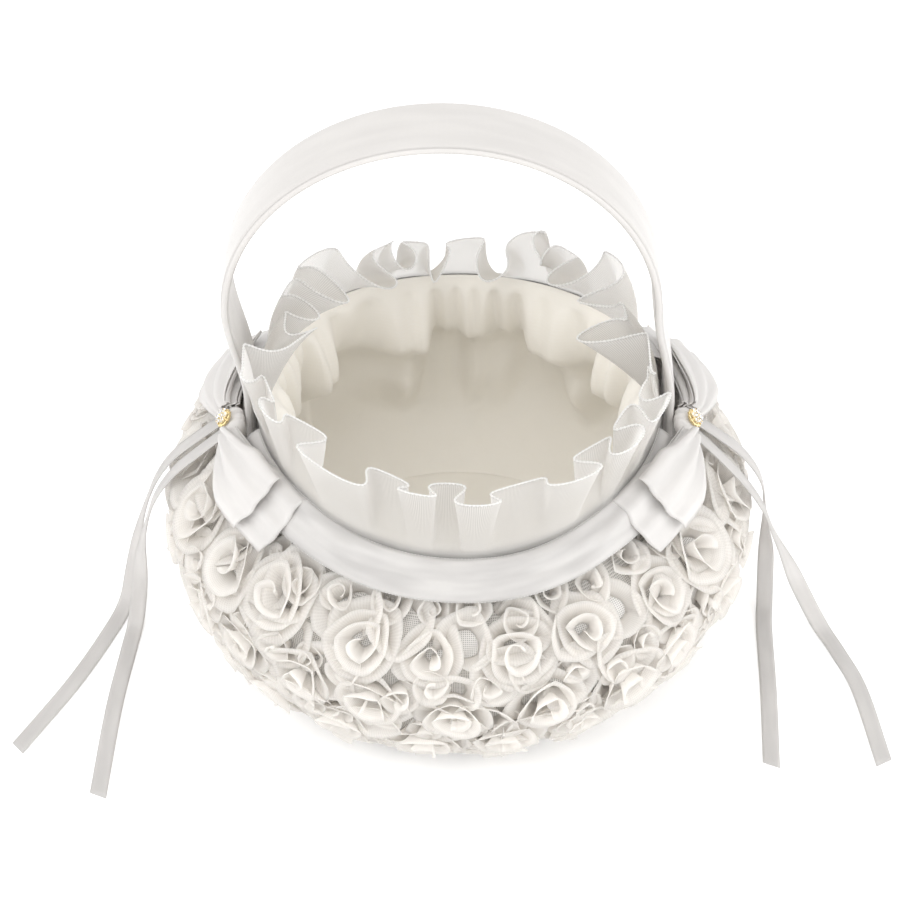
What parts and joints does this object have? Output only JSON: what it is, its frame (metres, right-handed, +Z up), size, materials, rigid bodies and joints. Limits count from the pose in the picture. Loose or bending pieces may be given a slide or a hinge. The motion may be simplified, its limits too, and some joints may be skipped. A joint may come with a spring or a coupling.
{
  "type": "flower girl basket",
  "caption": "Round lined basket covered with ribbon rosettes, with an organza ruffle, a satin strip handle, side bows with rhinestone ornaments and ribbon streamers.",
  "frame": {"origin": "centre of the flat base on the surface the basket stands on", "axes": "+Z up; X runs from one foot of the handle to the other, +X to the right of someone facing the front; -Y towards them"},
  "size_m": [0.3126, 0.21, 0.22],
  "materials": {
    "rose_ribbon": "matte",
    "tulle": "matte",
    "satin": "satin",
    "narrow_satin": "satin",
    "lining_satin": "satin",
    "organza": "satin",
    "bowl_plastic": "matte",
    "core_plastic": "matte",
    "board": "matte",
    "wire": "satin",
    "thread": "matte",
    "gold_tone": "polished",
    "crystal": "polished"
  },
  "bodies": {
    "basket": {"rosette_cover": "rose_ribbon", "tulle_net": "tulle", "satin_cover": "satin", "inner_bowl": "bowl_plastic", "lining_wall": "lining_satin", "lining_floor": "lining_satin", "base_board": "board", "base_cover": "satin", "rim_wire": "wire", "rim_band_front": "satin", "rim_band_back": "satin", "ruffle": "organza", "handle_tack_left": "thread", "bow_left_front_long": "satin", "bow_left_front_short": "satin", "bow_left_back_long": "satin", "bow_left_back_short": "satin", "bow_left_knot": "satin", "ornament_left_setting": "gold_tone", "rhinestone_left_0": "crystal", "rhinestone_left_1": "crystal", "rhinestone_left_2": "crystal", "rhinestone_left_3": "crystal", "rhinestone_left_4": "crystal", "rhinestone_left_5": "crystal", "rhinestone_left_6": "crystal", "streamer_left_front": "narrow_satin", "streamer_left_back": "narrow_satin", "handle_tack_right": "thread", "bow_right_front_long": "satin", "bow_right_front_short": "satin", "bow_right_back_long": "satin", "bow_right_back_short": "satin", "bow_right_knot": "satin", "ornament_right_setting": "gold_tone", "rhinestone_right_0": "crystal", "rhinestone_right_1": "crystal", "rhinestone_right_2": "crystal", "rhinestone_right_3": "crystal", "rhinestone_right_4": "crystal", "rhinestone_right_5": "crystal", "rhinestone_right_6": "crystal", "streamer_right_front": "narrow_satin", "streamer_right_back": "narrow_satin"},
    "handle": {"handle_sleeve": "satin", "handle_core": "core_plastic"}
  },
  "joints": [
    {"name": "handle_tilt", "type": "hinge", "parent": "basket", "child": "handle", "pos_m": [0, 0, 0.101], "axis": [1, 0, 0], "range_deg": [-20, 20]}
  ]
}
